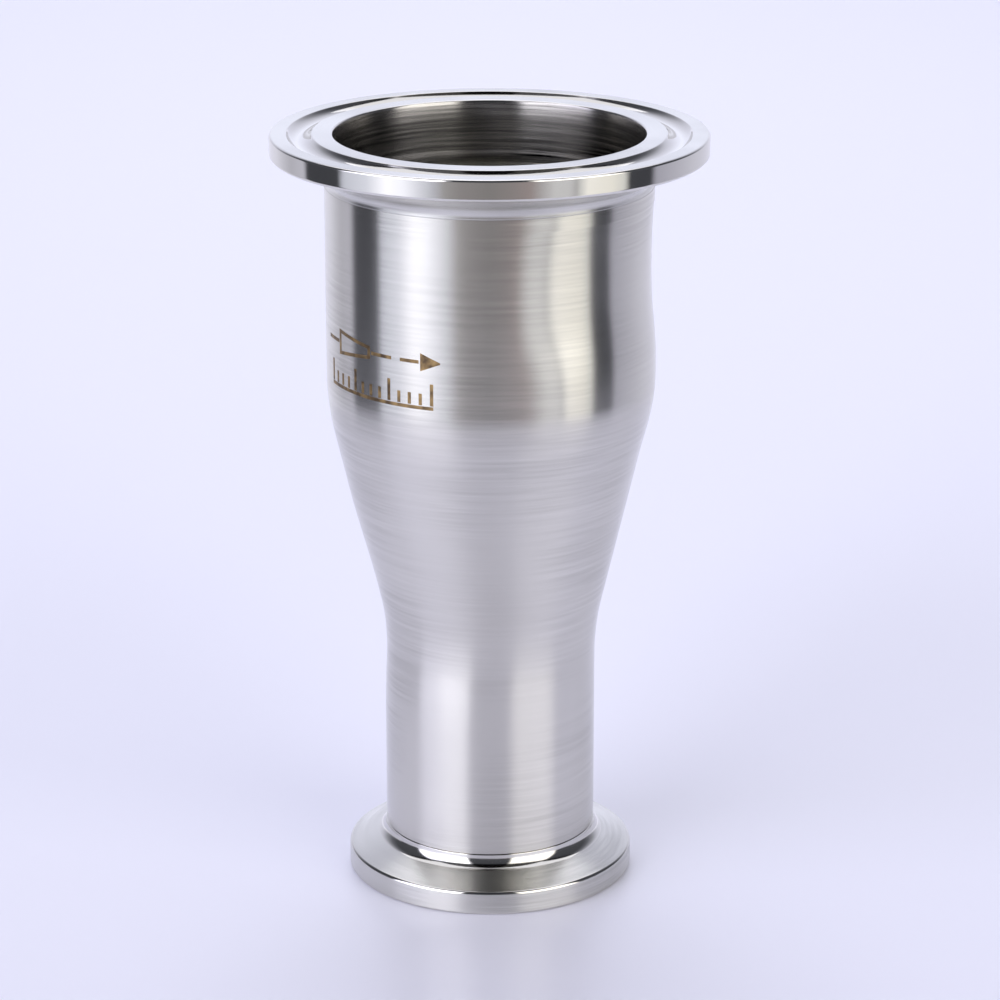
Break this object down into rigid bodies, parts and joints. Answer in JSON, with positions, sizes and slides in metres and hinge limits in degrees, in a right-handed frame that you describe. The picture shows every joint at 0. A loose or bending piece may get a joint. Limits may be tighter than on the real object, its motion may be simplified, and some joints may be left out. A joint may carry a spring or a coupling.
{
  "type": "clamp end pipe reducer",
  "caption": "Short stainless steel sanitary pipe reducer: a smooth tapered tube with a clamp ferrule welded to its large end and a smaller one to its small end.",
  "frame": {"origin": "centre of the small end's sealing face, which is also the bottom of the part's box", "axes": "+Z along the bore from the small end to the large end; the part is round, and the laser mark faces -Y and -X"},
  "size_m": [0.0506, 0.0506, 0.09],
  "materials": {
    "brushed_steel": "304 stainless tube, finely brushed round its circumference",
    "polished_steel": "turned 304 stainless, polished to a mirror",
    "weld_steel": "butt weld ground flush and buffed with the tube",
    "etched_mark": "laser-annealed brown oxide mark on the tube, matt"
  },
  "bodies": {
    "root": {"reducer_body": "brushed_steel", "large_ferrule": "polished_steel", "small_ferrule": "polished_steel", "large_weld": "weld_steel", "small_weld": "weld_steel"}
  },
  "joints": []
}
